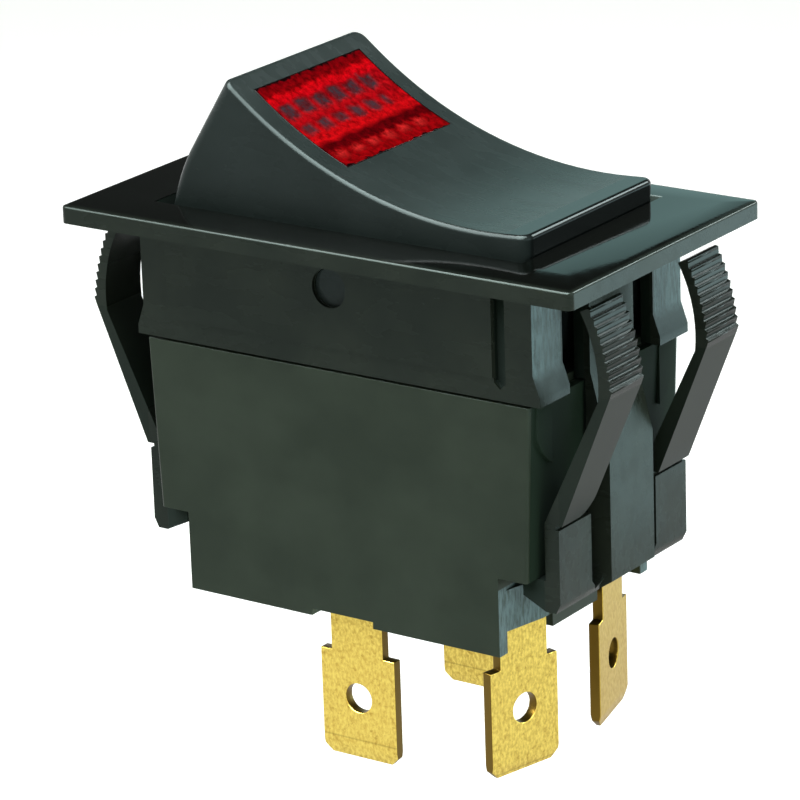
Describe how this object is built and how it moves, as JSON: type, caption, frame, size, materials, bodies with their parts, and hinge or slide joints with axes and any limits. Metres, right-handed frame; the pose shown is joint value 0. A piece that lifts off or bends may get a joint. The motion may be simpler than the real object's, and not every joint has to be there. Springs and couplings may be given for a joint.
{
  "type": "panel rocker switch",
  "caption": "Illuminated snap-in rocker switch with a concave rocker, a red window, a rectangular bezel, ribbed side wings and brass quick-connect tabs.",
  "frame": {"origin": "centre of the panel cut-out, on the bezel's underside, where the panel's face lies", "axes": "+Z out of the panel towards the user, +X along the bezel towards the pressed end and the end tabs, +Y across, from the near pole to the far one"},
  "size_m": [0.0434, 0.0244, 0.0485],
  "materials": {
    "bracket": "satin black moulding",
    "base": "satin black moulding",
    "rocker": "satin black moulding",
    "lens": "clear red, polished",
    "tab": "bright rolled brass",
    "arm": "stamped copper alloy",
    "contact": "bright silver",
    "plunger": "natural nylon",
    "spring": "drawn wire",
    "lamp": "clear glass",
    "resistor": "lacquer",
    "lead": "tinned wire"
  },
  "bodies": {
    "housing": {"bezel_bracket": "bracket", "contact_base": "base", "tab_near_middle": "tab", "tab_far_middle": "tab", "tab_near_end": "tab", "tab_far_end": "tab", "fixed_contact_near": "contact", "fixed_contact_far": "contact"},
    "rocker": {"rocker": "rocker", "lens": "lens", "lamp": "lamp", "lamp_resistor": "resistor", "lamp_lead_near": "lead", "lamp_lead_far": "lead", "resistor_lead": "lead", "plunger_spring_near": "spring", "plunger_spring_far": "spring"},
    "plunger_near": {"plunger_near": "plunger"},
    "plunger_far": {"plunger_far": "plunger"},
    "arm_near": {"contact_arm_near": "arm", "moving_contact_near": "contact"},
    "arm_far": {"contact_arm_far": "arm", "moving_contact_far": "contact"}
  },
  "joints": [
    {"name": "rocker_pivot", "type": "hinge", "parent": "housing", "child": "rocker", "pos_m": [0, 0, -0.0023], "axis": [0, 1, 0], "range_deg": [-34.8, 0]},
    {"name": "plunger_near_slide", "type": "slide", "parent": "rocker", "child": "plunger_near", "axis": [0.299, 0, 0.9542], "range_m": [0, 0.0008], "stiffness_N_per_m": 400, "springref_m": -0.002, "deforming": ["plunger_spring_near"]},
    {"name": "arm_near_tilt", "type": "hinge", "parent": "housing", "child": "arm_near", "pos_m": [0, -0.0057, -0.01698], "axis": [0, 1, 0], "range_deg": [0, 16]},
    {"name": "plunger_far_slide", "type": "slide", "parent": "rocker", "child": "plunger_far", "axis": [0.299, 0, 0.9542], "range_m": [0, 0.0008], "stiffness_N_per_m": 400, "springref_m": -0.002, "deforming": ["plunger_spring_far"]},
    {"name": "arm_far_tilt", "type": "hinge", "parent": "housing", "child": "arm_far", "pos_m": [0, 0.0057, -0.01698], "axis": [0, 1, 0], "range_deg": [0, 16]}
  ],
  "couplings": [
    {"joint": "arm_near_tilt", "follows": "rocker_pivot", "ratio": -0.45977},
    {"joint": "arm_far_tilt", "follows": "rocker_pivot", "ratio": -0.45977}
  ]
}
